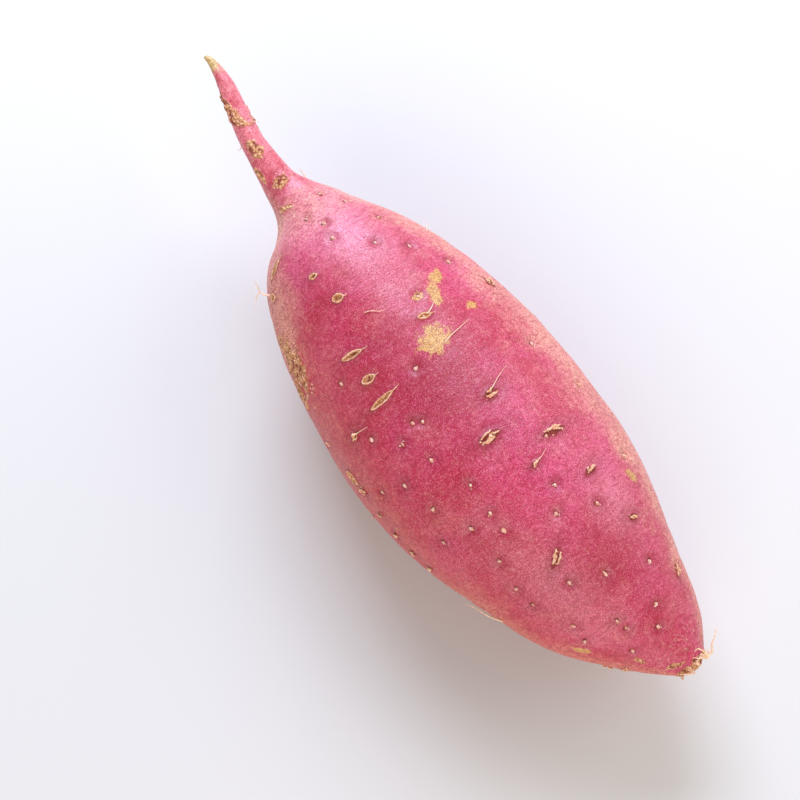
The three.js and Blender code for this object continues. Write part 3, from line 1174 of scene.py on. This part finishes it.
def make_stub_tree(material):
    tree, given, result = geometry_tree(
        "stubs", {"Raggedness": 0.3 * MM, "Knob Size": 0.6 * MM, "Seed": 1.0}
    )
    facing = named_attribute(tree, "facing", "FLOAT_VECTOR")
    upright = made_by(tree, "FunctionNodeAlignRotationToVector", {"Vector": facing}, axis="Z")
    size = named_attribute(tree, "size", "FLOAT_VECTOR")
    balls = balls_on(tree, given["Geometry"], upright, size, 8, 5)
    end_tree(tree, given, result, balls, given["Knob Size"], material)
    return tree


def make_crumb_tree(material):
    tree, given, result = geometry_tree(
        "crumbs", {"Crumbs per Square Metre": 1e6, "Smallest": 0.12 * MM, "Largest": 0.4 * MM,
                   "Raggedness": 0.3 * MM, "Seed": 1.0},
    )
    amount = named_attribute(tree, "crumbs", "FLOAT")
    thickness = times(tree, amount, given["Crumbs per Square Metre"])
    seed = made_by(tree, "FunctionNodeFloatToInt", {0: given["Seed"]})
    spots = add_node(
        tree, "GeometryNodeDistributePointsOnFaces",
        {"Mesh": given["Geometry"], "Density": thickness, "Seed": seed},
    )
    turn = made_by(
        tree, "FunctionNodeRandomValue",
        {"Min": (-0.5, -0.5, 0.0), "Max": (0.5, 0.5, math.tau), "Seed": seed}, data_type="FLOAT_VECTOR",
    )
    tumbled = made_by(
        tree, "FunctionNodeRotateRotation",
        {"Rotation": spots.outputs["Rotation"], "Rotate By": turn}, rotation_space="LOCAL",
    )
    size = add_node(
        tree, "FunctionNodeRandomValue",
        {2: given["Smallest"], 3: given["Largest"], "Seed": seed}, data_type="FLOAT",
    ).outputs[1]
    chip = made_by(
        tree, "ShaderNodeVectorMath", {0: (1.5, 0.8, 0.45), "Scale": size}, operation="SCALE"
    )
    balls = balls_on(tree, spots.outputs["Points"], tumbled, chip, 7, 4)
    knob_size = times(tree, given["Largest"], 1.2)
    end_tree(tree, given, result, balls, knob_size, material)
    return tree


stub_tree = make_stub_tree(FRESH_CORK)
crumb_tree = make_crumb_tree(DRY_CORK)
print("trees:", stub_tree.name, "and", crumb_tree.name)

# %% Set the stubs and scatter the crumbs
def points_object(name, at, vectors):
    """An object of loose points in millimetres, with those vectors as attributes."""
    mesh = bpy.data.meshes.new(name)
    mesh.from_pydata([Vector(p) * MM for p in at], [], [])
    for label, values in vectors.items():
        flat = np.array(values, float).ravel()
        mesh.attributes.new(label, "FLOAT_VECTOR", "POINT").data.foreach_set("vector", flat)
    return add_object(name, mesh)


stub_at, stub_facing, stub_size = [], [], []
for mark in scars:
    for chip in range(draw.choice((1, 2, 2, 3))):
        wide = draw.uniform(0.42, 0.74) if chip == 0 else draw.uniform(0.18, 0.32)
        beside = mark.direction(draw.uniform(0, 360)) * (0.0 if chip == 0 else draw.uniform(0.35, 0.75))
        spot, facing, _, _ = relief.find_nearest(mark.at + beside)
        stub_at.append(spot + facing * 0.06)
        stub_facing.append(facing + mark.direction(draw.uniform(0, 360)) * draw.uniform(0.2, 0.9))
        stub_size.append([side * MM for side in (wide * draw.uniform(0.8, 1.3), wide * 0.7, wide * 0.6)])
stubs = points_object("scar_stubs", stub_at, {"facing": stub_facing, "size": stub_size})
grow(stubs, stub_tree, raggedness=0.5 * MM, knob_size=0.45 * MM, seed=4)
print("scar stubs:", len(stubs.data.polygons), "faces")

crumbs = add_object("cork_crumbs", skin_mesh.copy())
grow(crumbs, crumb_tree, crumbs_per_square_metre=2.2e6, smallest=0.12 * MM, largest=0.34 * MM,
     raggedness=0.3 * MM, seed=6)
print("cork crumbs:", len(crumbs.data.polygons), "faces")

# %% [markdown]
# ## Attach the pieces
# Every piece rides on the one body. The skin stands for the solid, which is hidden.

# %% Attach the pieces
SLOTS = {skin: "skin", lips: "cork", stubs: "cork", crumbs: "cork", hair_roots: "rootlet"}
for piece, slot_name in SLOTS.items():
    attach(piece, "root")
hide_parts("sweet_potato")

visual_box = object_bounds()
for name, box in (("solid", cad_box), ("pieces", visual_box)):
    print(name, [[round(c / MM, 2) for c in corner] for corner in box], "mm")
